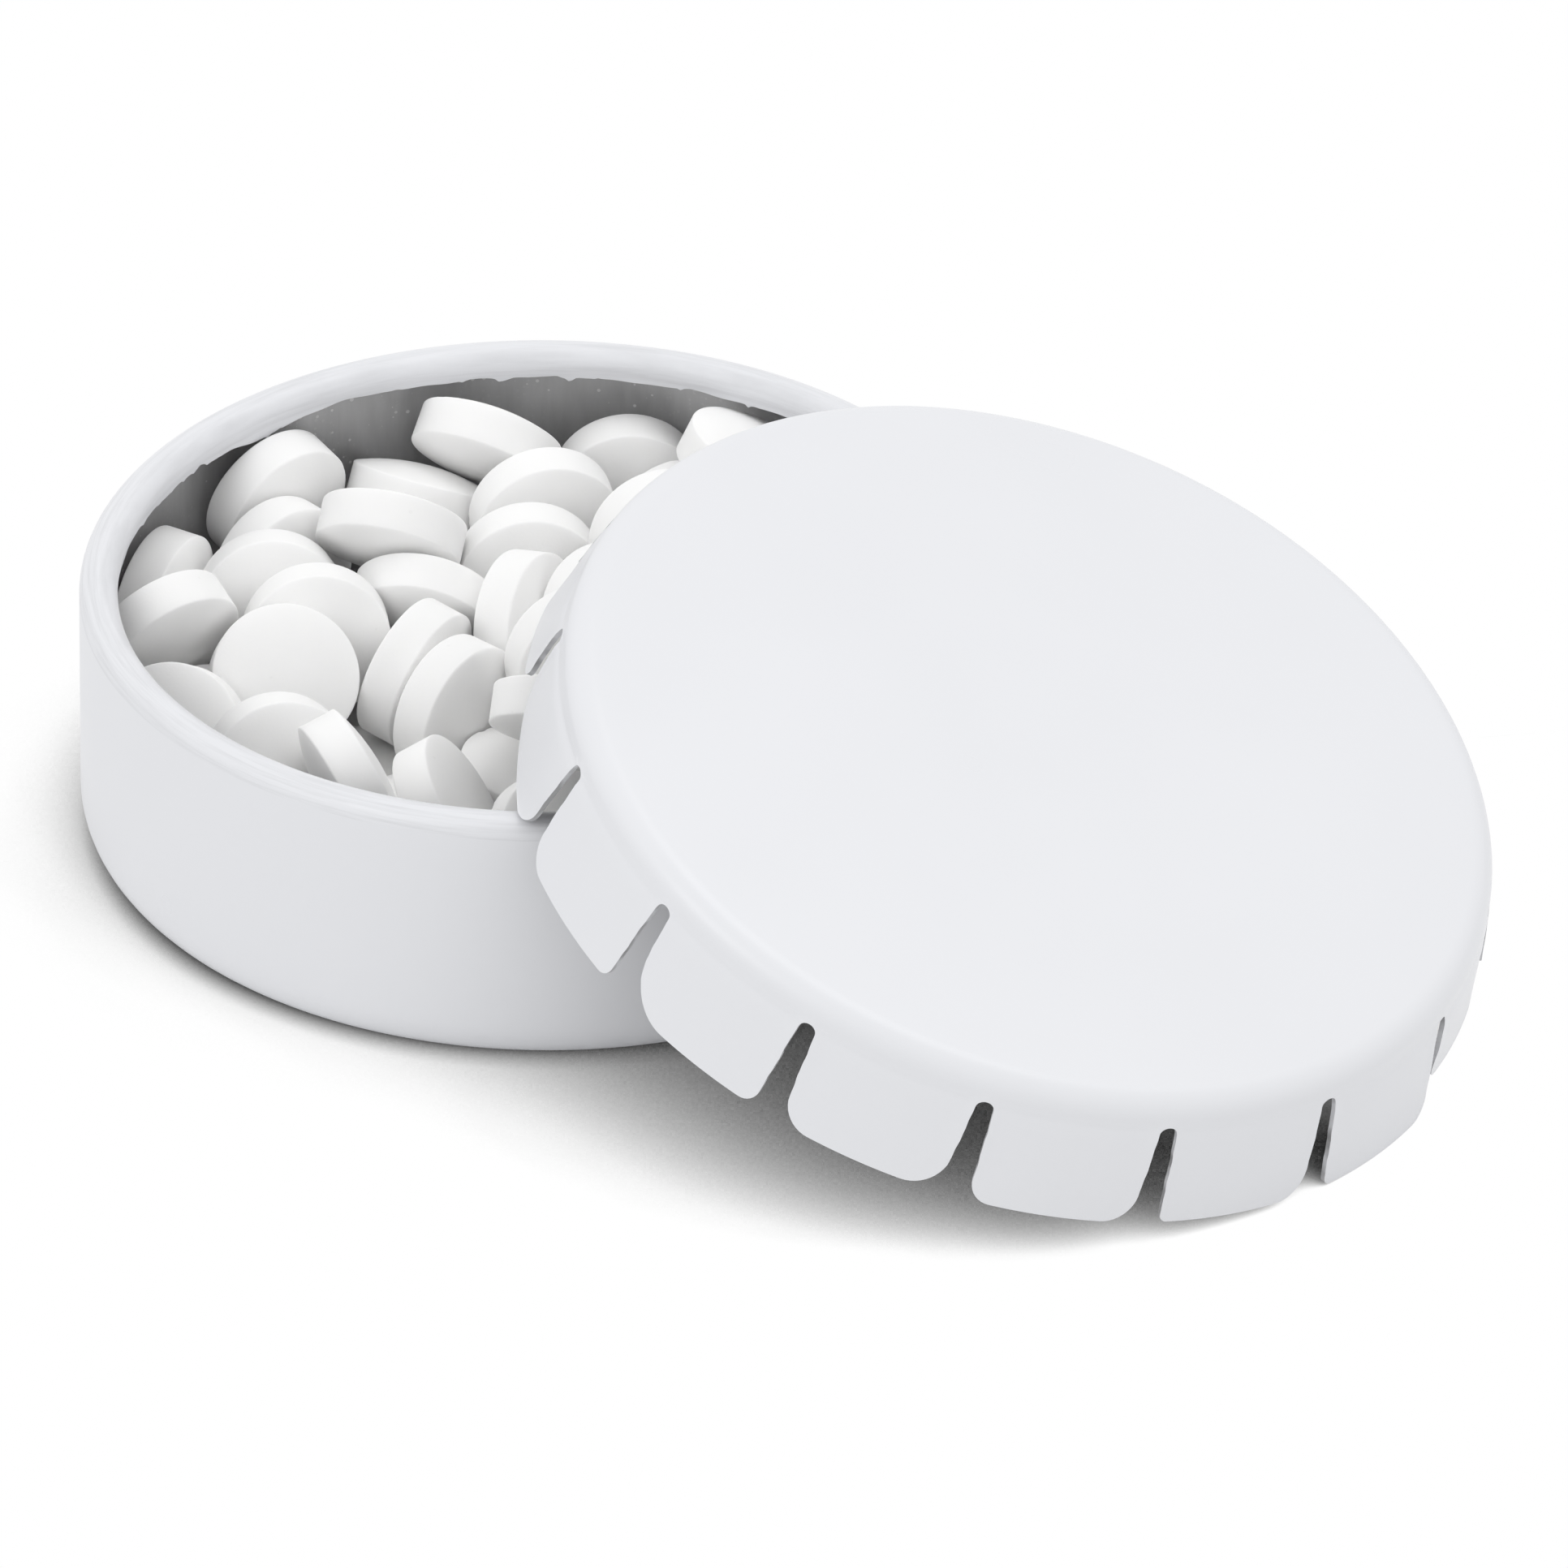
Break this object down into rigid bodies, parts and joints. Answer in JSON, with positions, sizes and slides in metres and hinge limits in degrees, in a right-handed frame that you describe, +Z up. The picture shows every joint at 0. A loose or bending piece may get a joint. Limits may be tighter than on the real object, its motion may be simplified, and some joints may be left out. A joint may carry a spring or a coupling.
{
  "type": "mint tin",
  "caption": "Round white click-top tin with a rolled rim, its slotted lid leaning open against it, filled with small domed mint tablets.",
  "frame": {"origin": "middle of the base's flat underside, on the table", "axes": "+Z up along the base; +X from the base towards the lid that leans on it"},
  "size_m": [0.0725, 0.0488, 0.0224],
  "materials": {
    "lacquered_tinplate": "satin white lacquer outside, bare grey tinplate inside",
    "pressed_mint": "dry, chalky pressed tablet"
  },
  "bodies": {
    "base": {"base": "lacquered_tinplate", "floor_mints": "pressed_mint", "mint_01": "pressed_mint", "mint_02": "pressed_mint", "mint_03": "pressed_mint", "mint_04": "pressed_mint", "mint_05": "pressed_mint", "mint_06": "pressed_mint", "mint_07": "pressed_mint", "mint_08": "pressed_mint", "mint_09": "pressed_mint", "mint_10": "pressed_mint", "mint_11": "pressed_mint", "mint_12": "pressed_mint", "mint_13": "pressed_mint", "mint_14": "pressed_mint", "mint_15": "pressed_mint", "mint_16": "pressed_mint", "mint_17": "pressed_mint", "mint_18": "pressed_mint", "mint_19": "pressed_mint", "mint_20": "pressed_mint", "mint_21": "pressed_mint", "mint_22": "pressed_mint", "mint_23": "pressed_mint", "mint_24": "pressed_mint", "mint_25": "pressed_mint", "mint_26": "pressed_mint", "mint_27": "pressed_mint", "mint_28": "pressed_mint", "mint_29": "pressed_mint", "mint_30": "pressed_mint", "mint_31": "pressed_mint", "mint_32": "pressed_mint", "mint_34": "pressed_mint", "mint_35": "pressed_mint", "mint_37": "pressed_mint", "mint_39": "pressed_mint", "mint_40": "pressed_mint", "mint_42": "pressed_mint"},
    "lid": {"lid": "lacquered_tinplate"},
    "mint_33": {"mint_33": "pressed_mint"},
    "mint_36": {"mint_36": "pressed_mint"},
    "mint_38": {"mint_38": "pressed_mint"},
    "mint_41": {"mint_41": "pressed_mint"}
  },
  "joints": [
    {"name": "lid_lift", "type": "slide", "parent": "base", "child": "lid", "axis": [0, 0, 1], "range_m": [0, 0.03]},
    {"name": "mint_33_lift", "type": "slide", "parent": "base", "child": "mint_33", "axis": [0.352, 0.1281, 0.9272], "range_m": [0, 0.02]},
    {"name": "mint_36_lift", "type": "slide", "parent": "base", "child": "mint_36", "axis": [-0.1983, -0.1664, 0.9659], "range_m": [0, 0.02]},
    {"name": "mint_38_lift", "type": "slide", "parent": "base", "child": "mint_38", "axis": [0, 0, 1], "range_m": [0, 0.02]},
    {"name": "mint_41_lift", "type": "slide", "parent": "base", "child": "mint_41", "axis": [0, 0, 1], "range_m": [0, 0.02]}
  ]
}
